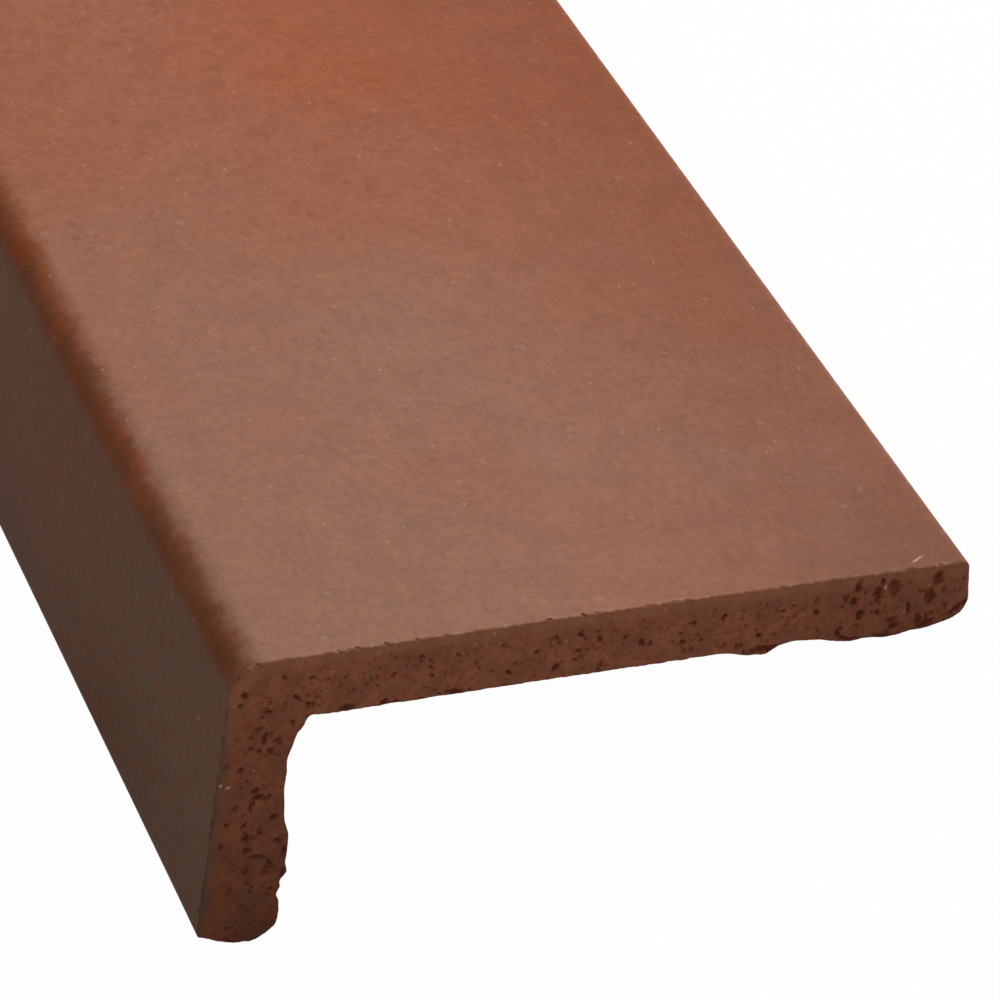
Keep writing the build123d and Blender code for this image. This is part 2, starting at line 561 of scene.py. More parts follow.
def face_relief(end, sizes, along, away):
    """Relief of the faces along their normals, at a place along the tread and at a distance from a cut end.

    The top face has a crown, 4t(1 - t) of its height across the face. Long waves come from smooth noise, and
    each torn mark is a bump exp(-(walk/width)^2 - (away/reach)^2)."""
    ends = np.cumsum(end.pieces[:, 0])
    share = np.clip((end.walk - ends[TOP_FACE - 1]) / end.pieces[TOP_FACE, 0], 0, 1)
    spots = np.column_stack([end.outline, np.full(len(end.walk), along)])
    relief = sizes.crown * 4 * share * (1 - share) + sizes.wave * smooth_noise(spots, 38 * MM, 3)
    for x, z, width, reach, height in end.marks:
        centre = end.walk[np.argmin(np.hypot(*(end.outline - np.array([x, z]) * MM).T))]
        closeness = ((end.walk - centre) / (width * MM)) ** 2 + (away / (reach * MM)) ** 2
        relief = relief + height * MM * np.exp(-closeness)
    return relief


def face_masks(end, away):
    """Per outline point: how far the face has turned from top to front, how much it is bedding side, and how
    close it lies to a worn arris, as exp(-distance / WEAR_REACH) of the nearest one."""
    n, w = end.columns, end.walls
    order = np.arange(len(end.walk))
    turned = np.arctan2(-end.normals[:, 0], end.normals[:, 1]) / (pi / 2)
    front = np.where(order <= n, np.clip(turned, 0, 1), 0.0)
    front = np.where(order >= 2 * n + w, 1.0, front)
    inside = np.minimum(end.walk - end.middles[BACK_FOOT], end.middles[TOE] - end.walk)
    bed = np.clip(inside / BED_FADE, 0, 1)
    nearest = np.full(len(end.walk), away)
    for middle in end.middles[[FOOT_FRONT, BACK_TOP, BACK_FOOT, TOE]]:
        nearest = np.minimum(nearest, end.away_from(middle))
    return front, bed, np.exp(-nearest / WEAR_REACH)


def skin_faces(first, second):
    """Faces between two rings of point numbers: squares for equal counts, and where one ring has half the
    points of the other, three triangles for each of its steps."""
    if len(first) == len(second):
        squares = np.column_stack([first, np.roll(first, -1), np.roll(second, -1), second])
        return squares, np.empty((0, 3), int)
    fine, coarse = (first, second) if len(first) > len(second) else (second, first)
    a, b, c = fine[::2], fine[1::2], np.roll(fine[::2], -1)
    d, e = coarse, np.roll(coarse, -1)
    triangles = np.vstack([np.column_stack(three) for three in ((a, b, d), (b, e, d), (b, c, e))])
    return np.empty((0, 4), int), triangles if fine is first else triangles[:, ::-1]


def grid_faces(index):
    """Squares of a grid of point numbers, facing the near end."""
    corners = index[:-1, :-1], index[1:, :-1], index[1:, 1:], index[:-1, 1:]
    return np.stack(corners, axis=-1).reshape(-1, 4)


# Distances of the skin's rings from a cut end, with the halvings of the near end's point count
NEAR_RINGS = (
    (0.3 * MM, 0), (0.7 * MM, 0), (1.3 * MM, 0), (2.1 * MM, 0),
    (3.2 * MM, 0), (4.6 * MM, 1), (6.6 * MM, 1), (9.4 * MM, 2),
)
FAR_RINGS = ((0.4 * MM, 1), (1.1 * MM, 1), (2.0 * MM, 1), (3.2 * MM, 1), (5.6 * MM, 1), (9.4 * MM, 2))
RING_STEP = 4.6 * MM

# Where the rings stop following the broken edge, and what is added to the seed for the far end
STRAIGHT_AFTER = 3.2 * MM
FAR_SEED_STEP = 40


class TreadMesh:
    """Collects the points, faces and masks of the whole tread, from the near end to the far end."""

    def __init__(self, sizes, ends, length):
        self.sizes, self.ends, self.length = sizes, ends, length
        self.points, self.masks, self.squares, self.triangles = [], [], [], []
        self.count = 0
        self.near = CutEnd(sizes, ends, 0.0, 0, TORN_MARKS, GOUGES, ends.seed)
        self.far = CutEnd(sizes, ends, length, 1, (), (), ends.seed + FAR_SEED_STEP)
        self.build()

    def add_points(self, section, along, front=0, bed=0, wear=0, pit=0, dense=0):
        """Stores points given by section place and length place, and returns their numbers."""
        size = len(section)
        masks = [np.broadcast_to(mask, size) for mask in (front, bed, wear, pit, dense)]
        self.points.append(np.column_stack([section[:, 0], along, section[:, 1]]))
        self.masks.append(np.column_stack(masks))
        self.count += size
        return np.arange(self.count - size, self.count)

    def add_cap(self, end, far):
        """Adds a cut end, and returns the point numbers of its outline."""
        depth = end.depth.ravel()
        under = np.repeat(np.linspace(0, self.sizes.tread_thickness, end.walls + 1), end.columns + 1)
        front = np.zeros(len(depth))
        front[end.ring_index()] = face_masks(end, 0.0)[0]
        numbers = self.add_points(
            end.grid.reshape(-1, 2),
            self.length - depth if far else depth,
            front=front,
            wear=np.exp(-under / (WEAR_REACH / 2)),
            pit=end.hollows.ravel() / MM,
            dense=1 - under / self.ends.dense,
        )
        squares = grid_faces(numbers.reshape(end.walls + 1, end.columns + 1))
        self.squares.append(squares[:, ::-1] if far else squares)
        return numbers[end.ring_index()]

    def add_ring(self, end, halvings, away, far):
        """Adds a ring of the skin, with its relief. Near the end it keeps part of the broken edge's depth."""
        step = 1 << (halvings - (1 if far else 0))
        kept = np.clip(1 - away / STRAIGHT_AFTER, 0, 1) * end.ring_depth
        place = self.length - away if far else away
        section = end.outline + end.normals * face_relief(end, self.sizes, place, away)[:, None]
        along = place - kept if far else place + kept
        masks = [mask[::step] for mask in face_masks(end, away)]
        return self.add_points(section[::step], along[::step], *masks)

    def join(self, first, second):
        """Adds the faces between two rings."""
        squares, triangles = skin_faces(first, second)
        self.squares.append(squares)
        self.triangles.append(triangles)

    def add_rings(self, ring, end, rings, far):
        """Adds rings one after another, each joined to the one before, and returns the last."""
        for away, halvings in rings:
            after = self.add_ring(end, halvings, away, far)
            self.join(ring, after)
            ring = after
        return ring

    def build(self):
        """Near cap, rings that thin out from it, even rings along the length, and the same back to the far
        cap."""
        start, halvings = NEAR_RINGS[-1]
        stop = self.length - FAR_RINGS[-1][0]
        places = np.linspace(start, stop, round((stop - start) / RING_STEP) + 1)[1:-1]
        even = [(away, halvings) for away in places]
        ring = self.add_cap(self.near, far=False)
        ring = self.add_rings(ring, self.near, [*NEAR_RINGS, *even], far=False)
        ring = self.add_rings(ring, self.far, FAR_RINGS[::-1], far=True)
        cap_start = len(self.squares)
        self.join(ring, self.add_cap(self.far, far=True))
        self.cap_faces = len(self.squares[0]), len(self.squares[cap_start])


def new_mesh(name, points, squares, triangles):
    """Blender mesh from arrays of points, four-sided faces and three-sided faces."""
    mesh = bpy.data.meshes.new(name)
    corners = np.concatenate([squares.ravel(), triangles.ravel()]).astype(np.int32)
    starts = np.concatenate([np.arange(len(squares)) * 4, len(squares) * 4 + np.arange(len(triangles)) * 3])
    mesh.vertices.add(len(points))
    mesh.vertices.foreach_set("co", points.astype(np.float32).ravel())
    mesh.loops.add(len(corners))
    mesh.loops.foreach_set("vertex_index", corners)
    mesh.polygons.add(len(starts))
    mesh.polygons.foreach_set("loop_start", starts.astype(np.int32))
    mesh.update(calc_edges=True)
    if mesh.validate():
        raise RuntimeError(f"{name} has broken faces")
    mesh.shade_smooth()
    return mesh


# Names of the masks that the mesh carries, in the order of their columns
MASKS = ("turn", "bed", "wear", "pit", "dense")


def add_mask(mesh, name, values):
    """Stores one number per point under a name that the materials read."""
    attribute = mesh.attributes.new(name, "FLOAT", "POINT")
    attribute.data.foreach_set("value", values.astype(np.float32))


class Board:
    """Adds nodes to a node tree, filled and linked, and sets them out in rows."""

    def __init__(self, tree):
        self.tree = tree

    def put(self, socket, value):
        """Fills a socket with another node's output, or with a number, vector or colour of its own."""
        if isinstance(value, bpy.types.NodeSocket):
            self.tree.links.new(value, socket)
        else:
            socket.default_value = value

    def add(self, kind, inputs=None, **settings):
        """A new node, with its inputs filled."""
        node = self.tree.nodes.new(kind)
        number = len(self.tree.nodes)
        node.location = (200 * (number % 8), -260 * (number // 8))
        for name, value in settings.items():
            setattr(node, name, value)
        for name, value in (inputs or {}).items():
            self.put(node.inputs[name], value)
        return node

    def math(self, operation, *values, clamp=False):
        """One step of arithmetic."""
        inputs = dict(enumerate(values))
        return self.add("ShaderNodeMath", inputs, operation=operation, use_clamp=clamp).outputs[0]

    def times(self, first, second):
        """Product of two numbers."""
        return self.math("MULTIPLY", first, second)

    def plus(self, first, second, clamp=False):
        """Sum of two numbers."""
        return self.math("ADD", first, second, clamp=clamp)

    def minus(self, first, second):
        """Difference of two numbers."""
        return self.math("SUBTRACT", first, second)

    def scaled(self, value, factor, offset):
        """A number times a factor, plus an offset."""
        return self.math("MULTIPLY_ADD", value, factor, offset)

    def vector(self, operation, first, second, output="Vector"):
        """One step of vector arithmetic."""
        return self.add("ShaderNodeVectorMath", {0: first, 1: second}, operation=operation).outputs[output]

    def ramp(self, value, low, high, start=0.0, end=1.0):
        """Smooth step of a value: start below low, end above high."""
        inputs = {"Value": value, "From Min": low, "From Max": high, "To Min": start, "To Max": end}
        return self.add("ShaderNodeMapRange", inputs, interpolation_type="SMOOTHSTEP").outputs["Result"]

    def blend(self, share, first, second, kind="MIX"):
        """Mix of two colours."""
        node = self.add("ShaderNodeMix", {"Factor": share}, data_type="RGBA", blend_type=kind)
        for name, value in (("A", first), ("B", second)):
            self.put(next(s for s in node.inputs if s.name == name and s.type == "RGBA"), value)
        return next(s for s in node.outputs if s.type == "RGBA")

    def noise(self, vector, size, detail=2.0, roughness=0.5):
        """Noise in 0 to 1 whose blotches have the given size in metres."""
        scale = self.math("DIVIDE", 1.0, size)
        inputs = {"Vector": vector, "Scale": scale, "Detail": detail, "Roughness": roughness}
        return self.add("ShaderNodeTexNoise", inputs).outputs["Fac"]

    def wander(self, noise, reach):
        """Noise moved to lie round 0 and stretched to the given reach from end to end."""
        return self.times(self.minus(noise, 0.5), reach)

    def mask(self, name):
        """A number stored on the mesh."""
        return self.add("ShaderNodeAttribute", attribute_name=name).outputs["Fac"]


def new_group(name, outputs, vectors=("Vector",), **numbers):
    """An empty shader node group: its board, its inputs as sockets to read, and its outputs to fill.

    The inputs are the vectors and then the numbers, each of which is named with its start value."""
    tree = bpy.data.node_groups.new(name, "ShaderNodeTree")
    for socket in vectors:
        tree.interface.new_socket(name=socket, in_out="INPUT", socket_type="NodeSocketVector")
    for socket, value in numbers.items():
        number = tree.interface.new_socket(name=socket, in_out="INPUT", socket_type="NodeSocketFloat")
        number.default_value = value
    for socket in outputs:
        tree.interface.new_socket(name=socket, in_out="OUTPUT", socket_type="NodeSocketFloat")
    return Board(tree), tree.nodes.new("NodeGroupInput").outputs, tree.nodes.new("NodeGroupOutput").inputs


def clay_grain_group():
    """Clay Grain: fine and coarse noise together, as a tone round 1 and as a height."""
    board, given, result = new_group("Clay Grain", ("Tone", "Height"), Size=0.4 * MM, Contrast=0.1)
    fine = board.noise(given["Vector"], given["Size"], 3.0, 0.65)
    coarse = board.noise(given["Vector"], board.math("DIVIDE", given["Size"], 0.22))
    both = board.plus(board.times(fine, 0.65), board.times(coarse, 0.35))
    board.put(result["Tone"], board.scaled(board.wander(both, given["Contrast"]), 4.0, 1.0))
    board.put(result["Height"], both)
    return board.tree


def mineral_specks_group():
    """Mineral Specks: a soft dot round the middle of some cells of a Voronoi pattern."""
    start = {"Spacing": 2 * MM, "Radius": 0.2 * MM, "Share": 0.5}
    board, given, result = new_group("Mineral Specks", ("Mask",), **start)
    scale = board.math("DIVIDE", 1.0, given["Spacing"])
    cells = board.add("ShaderNodeTexVoronoi", {"Vector": given["Vector"], "Scale": scale}).outputs
    away = board.times(cells["Distance"], given["Spacing"])
    drawn = board.add("ShaderNodeSeparateColor", {"Color": cells["Color"]}).outputs
    radius = board.times(given["Radius"], board.scaled(drawn["Green"], 0.9, 0.4))
    dot = board.ramp(away, board.times(radius, 0.45), radius, 1.0, 0.0)
    board.put(result["Mask"], board.times(dot, board.math("LESS_THAN", drawn["Red"], given["Share"])))
    return board.tree


def pale_nick_group():
    """Pale Nick: a ragged pale mark, 1 where (along / length)^2 + (across / width)^2 stays under 1 round a
    centre, with the distance along measured in the mark's direction."""
    vectors = ("Vector", "Centre", "Direction")
    start = {"Length": 1 * MM, "Width": 0.2 * MM, "Rag": 0.5}
    board, given, result = new_group("Pale Nick", ("Mask",), vectors, **start)
    away = board.vector("SUBTRACT", given["Vector"], given["Centre"])
    along = board.vector("DOT_PRODUCT", away, given["Direction"], "Value")
    reach = board.vector("DOT_PRODUCT", away, away, "Value")
    across = board.minus(reach, board.times(along, along))
    long_share = board.math("POWER", board.math("DIVIDE", along, given["Length"]), 2.0)
    wide_share = board.math("DIVIDE", across, board.math("POWER", given["Width"], 2.0))
    total = board.plus(board.plus(long_share, wide_share), given["Rag"])
    board.put(result["Mask"], board.ramp(total, 0.7, 1.5, 1.0, 0.0))
    return board.tree


def kiln_clouds_group():
    """Kiln Clouds: how far the fire has reddened the clay, from a slope across, a slope along and noise."""
    start = {"Across": 0.0, "Along": 0.0, "Start": 0.0, "Stop": 150 * MM, "Cloud": 0.3, "Level": 0.0}
    board, given, result = new_group("Kiln Clouds", ("Factor",), **start)
    place = board.add("ShaderNodeSeparateXYZ", {"Vector": given["Vector"]}).outputs
    back_share = board.math("DIVIDE", place["X"], TREAD_DEPTH, clamp=True)
    across = board.times(board.math("POWER", back_share, 2.0), given["Across"])
    along = board.times(board.ramp(place["Y"], given["Start"], given["Stop"]), given["Along"])
    cloud = board.wander(board.noise(given["Vector"], 45 * MM, 3.0, 0.55), given["Cloud"])
    total = board.plus(board.plus(across, along), board.plus(cloud, given["Level"]), clamp=True)
    board.put(result["Factor"], total)
    return board.tree


def arris_wear_group():
    """Arris Wear: closeness to an arris, broken up by noise so that only patches show rubbed clay."""
    board, given, result = new_group("Arris Wear", ("Factor",), Closeness=0.0, Amount=0.5)
    patches = board.ramp(board.noise(given["Vector"], 1.8 * MM, 3.0, 0.7), 0.5, 0.66)
    worn = board.times(board.ramp(given["Closeness"], 0.25, 0.95), patches)
    board.put(result["Factor"], board.times(worn, given["Amount"]))
    return board.tree


# Builders of the shader groups that the finishes share
SHARED_GROUPS = {
    "Clay Grain": clay_grain_group,
    "Mineral Specks": mineral_specks_group,
    "Kiln Clouds": kiln_clouds_group,
    "Arris Wear": arris_wear_group,
    "Pale Nick": pale_nick_group,
}

# Pale nicks in millimetres as laid, by finish: centre, direction, half length and half width. On the cut
# clay, the three by the gouges are painted highlights on their rims.
PALE_NICKS_AND_HIGHLIGHTS = {
    "Fired Skin": (
        ((107.2, 2.1, 0.0), (0.88, 0.47, 0.0), 2.1, 0.3),
        ((80.0, 0.5, 0.0), (0.9, 0.44, 0.0), 0.6, 0.24),
        ((58.4, 0.3, 0.0), (1.0, 0.0, 0.0), 0.5, 0.2),
        ((0.0, 9.5, -17.0), (0.0, 0.3, 0.95), 0.5, 0.2),
    ),
    "Cut Clay": (
        # Painted highlights on the rims of the gouges
        ((110.6, 0.0, -1.6), (0.54, 0.0, 0.84), 0.65, 0.36),
        ((111.3, 0.0, -3.4), (0.02, 0.0, 1.0), 0.6, 0.2),
        ((101.7, 0.0, -2.8), (0.31, 0.0, -0.95), 0.7, 0.26),
        # Pale specks on the leg's front edge
        ((0.5, 0.0, -21.7), (0.43, 0.0, -0.9), 0.4, 0.3),
        ((1.7, 0.0, -22.3), (0.97, 0.0, 0.23), 0.55, 0.26),
    ),
}


class ClayFinish:
    """Start of each fired finish: a material, the place as laid, the shared groups and the shader."""

    def __init__(self, name, colours, lying):
        self.colours = colours
        self.material = bpy.data.materials.new(name)
        self.material.use_nodes = True
        self.material.node_tree.nodes.clear()
        self.board = Board(self.material.node_tree)
        place = self.board.add("ShaderNodeTexCoord").outputs["Object"]
        lean = {"Vector": place, "Location": lying.shift, "Rotation": (0, lying.angle, 0)}
        self.laid = self.board.add("ShaderNodeMapping", lean, vector_type="TEXTURE").outputs["Vector"]
        self.shader = self.board.add("ShaderNodeBsdfPrincipled", {"Specular IOR Level": 0.15})
        self.board.add("ShaderNodeOutputMaterial", {"Surface": self.shader.outputs[0]})

    @cached_property
    def place(self):
        """The place as laid, split into X, Y and Z."""
        return self.board.add("ShaderNodeSeparateXYZ", {"Vector": self.laid}).outputs

    def noise(self, size, detail=2.0, roughness=0.5):
        """Noise whose blotches have the given size in millimetres."""
        return self.board.noise(self.laid, size * MM, detail, roughness)

    def group(self, name, **inputs):
        """One of the shared groups, with its inputs given by their names in small letters."""
        tree = bpy.data.node_groups.get(name) or SHARED_GROUPS[name]()
        node = self.board.add("ShaderNodeGroup", node_tree=tree, label=name)
        for key, value in {"vector": self.laid, **inputs}.items():
            self.board.put(node.inputs[key.capitalize()], value)
        return node.outputs

    def grain(self, size, contrast):
        """Tone and height of clay grain of the given size in millimetres."""
        return self.group("Clay Grain", size=size * MM, contrast=contrast)

    def kiln(self, **inputs):
        """How far the fire has reddened the clay."""
        return self.group("Kiln Clouds", **inputs)["Factor"]

    def specks(self, spacing, radius, share):
        """Mask of mineral specks; their spacing and radius are in millimetres."""
        return self.group("Mineral Specks", spacing=spacing * MM, radius=radius * MM, share=share)["Mask"]

    def stained(self, face, mask, strength, colour):
        """The face's colour with another colour where a mask is, at the given strength."""
        return self.board.blend(self.board.times(mask, strength), face, colour)

    def toned(self, colour, tone):
        """A colour times a tone."""
        grey = self.board.add("ShaderNodeCombineColor", {"Red": tone, "Green": tone, "Blue": tone})
        return self.board.blend(1.0, colour, grey.outputs["Color"], "MULTIPLY")

    def worn(self, face, strength):
        """The face's colour with rubbed clay on its upper arrises and this finish's pale nicks, which on the
        cut clay include painted highlights on the gouges' rims.
        """
        above = self.board.ramp(self.place["Z"], -6 * MM, -2 * MM, 0.0, strength)
        wear = self.group("Arris Wear", closeness=self.board.mask("wear"), amount=above)["Factor"]
        face = self.board.blend(wear, face, self.colours.pale)
        rag = self.board.times(self.noise(0.4), 1.2)
        for centre, direction, length, width in PALE_NICKS_AND_HIGHLIGHTS[self.material.name]:
            place = {"centre": [c * MM for c in centre], "direction": direction}
            nick = self.group("Pale Nick", **place, length=length * MM, width=width * MM, rag=rag)
            face = self.stained(face, nick["Mask"], 0.75, self.colours.pale)
        return face

    def finished(self, colour, roughness, height, bump):
        """Fills the shader with a colour, a roughness and a bump of the given depth in millimetres."""
        raised = self.board.add("ShaderNodeBump", {"Height": height, "Distance": bump * MM, "Strength": 1.0})
        self.board.put(self.shader.inputs["Base Color"], colour)
        self.board.put(self.shader.inputs["Roughness"], roughness)
        self.board.put(self.shader.inputs["Normal"], raised.outputs["Normal"])
        return self.material


def skin_finish(colours, lying):
    """Outer faces: kiln-clouded top, darker front, and a burnt band where the clay turns over the nose,
    partly the nose's own redder clay and partly painted shade.
    """
    finish = ClayFinish("Fired Skin", colours, lying)
    board, place = finish.board, finish.place
    kiln = finish.kiln(across=0.42, along=0.6, start=45 * MM, stop=160 * MM, cloud=0.9, level=-0.02)
    top = board.blend(kiln, colours.tread_grey, colours.tread_red)
    back_shade = board.ramp(place["X"], 58 * MM, 118 * MM, 1.0, 0.8)
    near_shade = board.ramp(place["Y"], 0.0, 30 * MM, 0.1, 0.0)
    near_corner = board.times(board.ramp(place["X"], 60 * MM, 110 * MM), near_shade)
    top = finish.toned(top, board.minus(back_shade, near_corner))
    front_kiln = finish.kiln(along=0.55, start=25 * MM, stop=80 * MM, cloud=0.9, level=0.05)
    front = board.blend(front_kiln, colours.front_grey, colours.front_red)
    front = finish.toned(front, board.ramp(place["Z"], -52 * MM, -22 * MM, 0.8, 1.0))

    # The band, partly redder clay and partly painted shade where the nose turns away from the lamp, follows
    # how far the face has turned, from 0 on the top to 1 on the front
    wider = board.ramp(place["Y"], 55 * MM, 110 * MM, -0.04, 0.09)
    turn = board.plus(board.plus(board.mask("turn"), board.wander(finish.noise(2.5, 3.0), 0.6)), wider)
    face = board.blend(board.ramp(turn, 0.45, 0.9), top, front)
    band = board.times(board.ramp(turn, 0.06, 0.48), board.ramp(turn, 0.72, 1.02, 1.0, 0.0))
    # Strength of the band's redder clay and painted shade, in long patches
    burnt = board.ramp(finish.noise(24), 0.35, 0.65, 0.98, 0.72)
    further = board.ramp(place["Y"], 10 * MM, 45 * MM, 0.05, 0.75)
    flames = board.times(board.ramp(finish.noise(6, 3.0), 0.38, 0.6), further)
    nose = board.blend(flames, colours.nose, colours.nose_red_and_shade)
    face = board.blend(board.times(band, burnt), face, nose)

    grain, coarse = finish.grain(0.45, 0.1), finish.grain(1.5, 0.19)
    face = finish.toned(face, board.times(grain["Tone"], coarse["Tone"]))
    pimples = finish.specks(4.2, 0.7, 0.6)
    face = finish.stained(face, pimples, 0.1, colours.pale)
    for spacing, radius, share, strength, colour in (
        (2.8, 0.3, 0.4, 0.32, colours.pale),
        (1.0, 0.16, 0.8, 0.2, colours.pale),
        (1.3, 0.17, 0.6, 0.4, colours.dark),
    ):
        face = finish.stained(face, finish.specks(spacing, radius, share), strength, colour)
    face = finish.worn(face, 0.25)
    roughness = board.ramp(grain["Height"], 0.3, 0.7, 0.72, 0.86)
    height = board.scaled(coarse["Height"], 2.4, board.times(grain["Height"], 0.45))
    return finish.finished(face, roughness, board.scaled(pimples, 0.4, height), 0.09)


def bed_finish(colours, lying):
    """Underside and inner face of the leg: bare clay with the drag lines of the press along its length."""
    finish = ClayFinish("Bedding Side", colours, lying)
    board = finish.board
    kiln = finish.kiln(across=0.2, along=0.3, cloud=1.0, level=0.2)
    face = board.blend(kiln, colours.bed, colours.tread_red)
    stretch = {"Vector": finish.laid, "Scale": (1.0, 0.012, 1.0)}
    stretched = board.add("ShaderNodeMapping", stretch).outputs["Vector"]
    lines = board.noise(stretched, 0.9 * MM, 4.0, 0.7)
    grain = finish.grain(0.55, 0.2)
    face = finish.toned(face, grain["Tone"])
    face = finish.toned(face, board.ramp(lines, 0.25, 0.75, 0.86, 1.1))
    face = finish.stained(face, finish.specks(2.2, 0.26, 0.4), 0.4, colours.pale)
    height = board.scaled(lines, 1.5, grain["Height"])
    return finish.finished(face, board.ramp(lines, 0.3, 0.7, 0.8, 0.92), height, 0.08)


def cut_finish(colours, lying):
    """Cut ends: open clay of two tints, denser under the outer faces, with painted shade in its pits and
    along its inner edge, pale grains, and painted highlights on the gouges' rims.
    """
    finish = ClayFinish("Cut Clay", colours, lying)
    board, place = finish.board, finish.place
    patches = board.ramp(finish.noise(1.5, 4.0, 0.65), 0.42, 0.68)
    core = board.blend(patches, colours.core, colours.core_burnt)
    tint = board.ramp(finish.noise(5), 0.42, 0.6)
    core = finish.stained(core, tint, 0.4, colours.dense_leg)

    # The mask for dense clay is 1 at the outer faces and falls below 0 behind the dense zone
    deep = board.mask("dense")
    plate = board.ramp(place["Z"], -16 * MM, -4 * MM)
    ragged = board.wander(finish.noise(1.3, 3.0), 1.2)
    thinner = board.scaled(plate, 0.3, board.minus(deep, 0.3))
    dense = board.ramp(board.plus(thinner, ragged), 0.0, 0.5)
    face = board.blend(dense, core, board.blend(plate, colours.dense_leg, colours.dense))
    outer = board.ramp(board.scaled(ragged, 0.5, deep), 0.55, 0.95)
    face = finish.stained(face, outer, board.scaled(plate, -0.75, 0.75), colours.front_grey)

    # The leg is darker downwards, and the plate is darker near its back edge
    past_leg = board.math("MAXIMUM", board.minus(place["X"], 11 * MM), 0.0)
    height_on_leg = board.scaled(past_leg, 3.0, place["Z"])
    upper_leg = board.ramp(height_on_leg, -16 * MM, -1 * MM, 0.84, 1.0)
    lower_leg = board.ramp(height_on_leg, -52 * MM, -18 * MM, 0.8, 1.0)
    back = board.ramp(place["X"], 84 * MM, 98 * MM, 1.0, 0.85)
    shade = board.times(board.times(upper_leg, lower_leg), board.times(back, board.scaled(tint, -0.1, 1.04)))

    grain, coarse = finish.grain(0.42, 0.2), finish.grain(1.5, 0.16)
    tone = board.times(grain["Tone"], coarse["Tone"])
    face = finish.toned(face, board.times(tone, shade))
    face = finish.stained(face, finish.specks(2.4, 0.22, 0.3), 0.4, colours.pale)
    # Tiny pits that the mesh lacks, painted as dots of shade in the open clay
    open_clay = board.scaled(dense, -0.75, 1.0)
    small_pits = board.times(finish.specks(0.85, 0.27, 0.42), open_clay)
    face = finish.stained(face, small_pits, 0.55, colours.pit)
    # Painted shade in the mesh's pits, gouges and chips, by their depth
    torn = board.ramp(grain["Height"], 0.38, 0.6, 0.45, 1.45)
    hollow = board.ramp(board.times(board.mask("pit"), torn), 0.0, 0.3)
    face = finish.stained(face, hollow, 0.9, colours.pit)
    # Painted shadow in patches along the cut ends' inner edge, at the bedding side
    inner_edge_shadow = board.ramp(deep, -3.58, -3.32, 0.6, 0.0)
    face = finish.stained(face, inner_edge_shadow, board.ramp(finish.noise(7), 0.44, 0.56), colours.pit)
    face = finish.worn(face, 0.3)
    roughness = board.ramp(grain["Height"], 0.3, 0.7, 0.84, 0.95)
    return finish.finished(face, roughness, grain["Height"], 0.07)


class OBJECT_OT_add_step_tread(Operator):
    """Adds the worked clay tread in the place of the plain CAD solid"""

    bl_idname = "object.add_step_tread"
    bl_label = "Step Tread"
    bl_options = {"REGISTER", "UNDO"}

    def execute(self, context):
        scene = context.scene
        lying = LyingPlace(scene.tread_section)
        tread = TreadMesh(scene.tread_section, scene.cut_ends, HIGH.y - LOW.y)
        points = lying.place(np.vstack(tread.points))
        # No swollen mark reaches under the floor
        points[:, 2] = np.maximum(points[:, 2], LOW.z)
        squares, triangles = np.vstack(tread.squares), np.vstack(tread.triangles)
        mesh = new_mesh("fired_tread", points, squares, triangles)
        masks = np.vstack(tread.masks)
        for name, values in zip(MASKS, masks.T):
            add_mask(mesh, name, values)
        for finish in (skin_finish, bed_finish, cut_finish):
            mesh.materials.append(finish(scene.clay_colours, lying))
        numbers = self.materials_of(tread, squares, triangles, masks[:, MASKS.index("bed")])
        mesh.polygons.foreach_set("material_index", numbers)
        piece = bpy.data.objects.new("fired_tread", mesh)
        scene.collection.objects.link(piece)
        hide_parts(NODE)
        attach(piece, "root")
        return {"FINISHED"}

    @staticmethod
    def materials_of(tread, squares, triangles, bed):
        """Material number of each face: 2 on the cut ends, 1 on the bedding side and 0 elsewhere."""
        bedded = np.concatenate([bed[squares].mean(axis=1), bed[triangles].mean(axis=1)]) > 0.01
        number = bedded.astype(np.int32)
        near, far = tread.cap_faces
        number[:near] = 2
        number[len(squares) - far : len(squares)] = 2
        return number


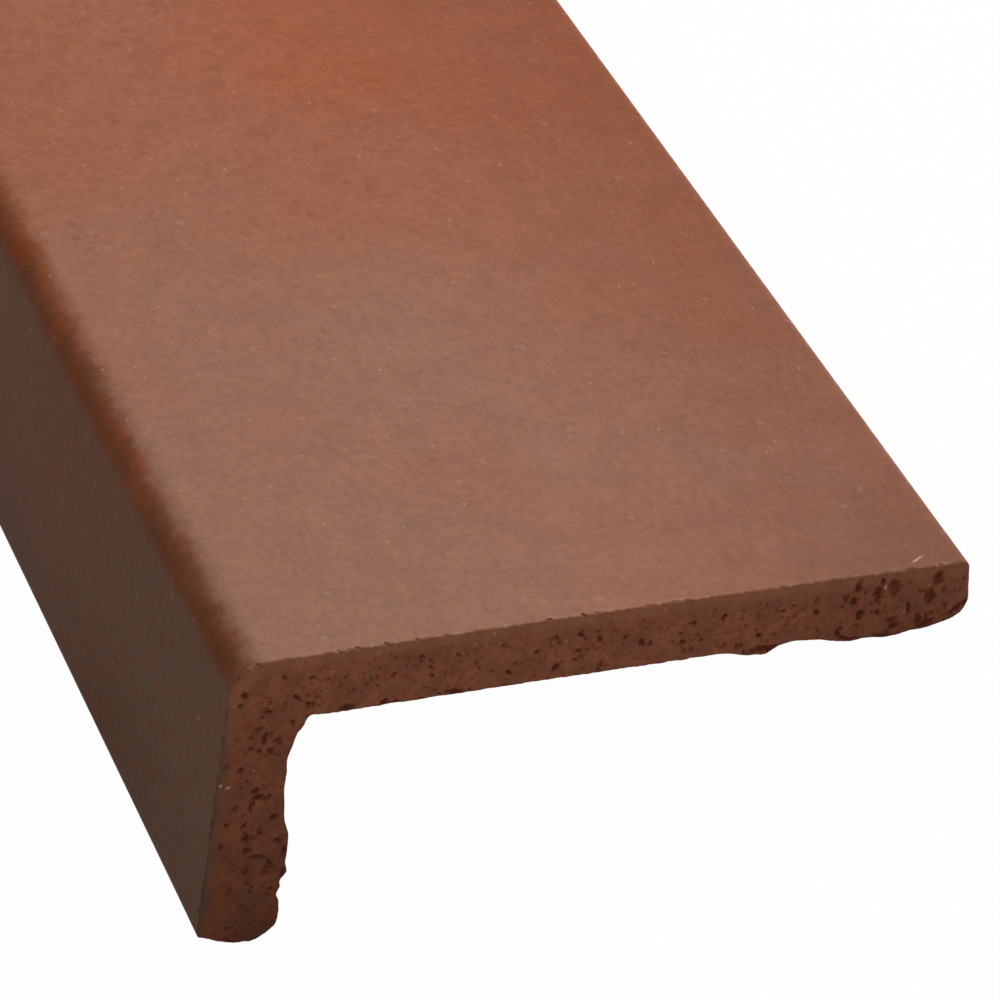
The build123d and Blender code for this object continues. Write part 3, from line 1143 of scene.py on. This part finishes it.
class SCENE_OT_set_studio_stage(Operator):
    """Sets the pale floor, the soft studio light and the camera"""

    bl_idname = "scene.set_studio_stage"
    bl_label = "Studio Stage"
    bl_options = {"REGISTER", "UNDO"}

    def execute(self, context):
        stage = context.scene.studio_stage
        self.add_floor(context.scene, stage)
        self.add_light(context.scene, stage)
        self.add_camera(context.scene, stage)
        context.scene.view_settings.view_transform = "Standard"
        return {"FINISHED"}

    @staticmethod
    def seen_directly(board):
        """1 for rays that carry the background's look: camera, glossy and transmission rays."""
        path = board.add("ShaderNodeLightPath").outputs
        glossy = board.math("MAXIMUM", path["Is Camera Ray"], path["Is Glossy Ray"])
        return board.math("MAXIMUM", glossy, path["Is Transmission Ray"])

    def add_floor(self, scene, stage):
        """A wide floor that looks white and keeps a soft part of the shadow."""
        corners = stage.floor_reach * np.array([(-1, -1, 0), (1, -1, 0), (1, 1, 0), (-1, 1, 0)])
        mesh = new_mesh("floor", corners, np.array([[0, 1, 2, 3]]), np.empty((0, 3), int))
        floor = bpy.data.objects.new("floor", mesh)
        scene.collection.objects.link(floor)
        material = bpy.data.materials.new("Pale Floor")
        material.use_nodes = True
        board = Board(material.node_tree)
        board.tree.nodes.clear()
        matt = board.add("ShaderNodeBsdfDiffuse", {"Color": stage.floor_colour})
        white = board.add("ShaderNodeEmission", {"Color": (1, 1, 1, 1), "Strength": 1.0})
        share = board.times(self.seen_directly(board), stage.floor_glow)
        both = board.add("ShaderNodeMixShader", {0: share, 1: matt.outputs[0], 2: white.outputs[0]})
        board.add("ShaderNodeOutputMaterial", {"Surface": both.outputs[0]})
        mesh.materials.append(material)

    def add_light(self, scene, stage):
        """Even light from all round and one large soft lamp on the back edge's side."""
        world = bpy.data.worlds.new("studio")
        world.use_nodes = True
        board = Board(world.node_tree)
        board.tree.nodes.clear()
        strength = board.scaled(self.seen_directly(board), 1.0 - stage.fill, stage.fill)
        light = board.add("ShaderNodeBackground", {"Color": (1, 1, 1, 1), "Strength": strength})
        board.add("ShaderNodeOutputWorld", {"Surface": light.outputs[0]})
        scene.world = world
        lamp = bpy.data.lights.new("key", "AREA")
        lamp.shape = "SQUARE"
        lamp.size = stage.key_size
        lamp.energy = stage.key
        key = bpy.data.objects.new("key", lamp)
        level, turn = stage.key_height, stage.key_turn
        towards = Vector((cos(level) * cos(turn), cos(level) * sin(turn), sin(level)))
        key.location = (LOW + HIGH) / 2 + towards * stage.key_distance
        key.rotation_euler = towards.to_track_quat("Z", "Y").to_euler()
        scene.collection.objects.link(key)

    def add_camera(self, scene, stage):
        """Camera at the photograph's angle: worked out to the tread as laid, and leaned with it."""
        lying = LyingPlace(scene.tread_section)
        level, turn, roll = stage.elevation, stage.azimuth, stage.roll
        forward = Vector((cos(level) * sin(turn), cos(level) * cos(turn), -sin(level)))
        flat_right = Vector((cos(turn), -sin(turn), 0))
        flat_up = flat_right.cross(forward)
        right = cos(roll) * flat_right + sin(roll) * flat_up
        up = right.cross(forward)
        eye = Vector((stage.aim_across, stage.aim_along, 0)) - forward * stage.distance
        view = Matrix((right, up, -forward)).transposed().to_4x4()
        view.translation = eye
        lens = bpy.data.cameras.new("camera")
        lens.sensor_fit = "HORIZONTAL"
        lens.sensor_width = SENSOR_WIDTH_MM
        lens.lens = stage.lens
        camera = bpy.data.objects.new("camera", lens)
        lean = Matrix.Rotation(lying.angle, 4, "Y")
        camera.matrix_world = Matrix.Translation(lying.shift) @ lean @ view
        scene.collection.objects.link(camera)
        scene.camera = camera


class VIEW3D_PT_step_tread(Panel):
    """Lists the tread's operators"""

    bl_label = "Step Tread"
    bl_idname = "VIEW3D_PT_step_tread"
    bl_space_type = "VIEW_3D"
    bl_region_type = "UI"
    bl_category = "Step Tread"

    def draw(self, context):
        for operator in (OBJECT_OT_add_step_tread, SCENE_OT_set_studio_stage):
            self.layout.operator(operator.bl_idname)


GROUPS = {
    "tread_section": TreadSection,
    "cut_ends": CutEnds,
    "clay_colours": ClayColours,
    "studio_stage": StudioStage,
}
CLASSES = (*GROUPS.values(), OBJECT_OT_add_step_tread, SCENE_OT_set_studio_stage, VIEW3D_PT_step_tread)


def register():
    for item in CLASSES:
        bpy.utils.register_class(item)
    for name, group in GROUPS.items():
        setattr(bpy.types.Scene, name, PointerProperty(type=group))


def unregister():
    for name in GROUPS:
        delattr(bpy.types.Scene, name)
    for item in reversed(CLASSES):
        bpy.utils.unregister_class(item)


def main():
    """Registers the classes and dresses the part."""
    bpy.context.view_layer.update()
    register()
    bpy.ops.object.add_step_tread()
    bpy.ops.scene.set_studio_stage()


if __name__ == "__main__":
    main()
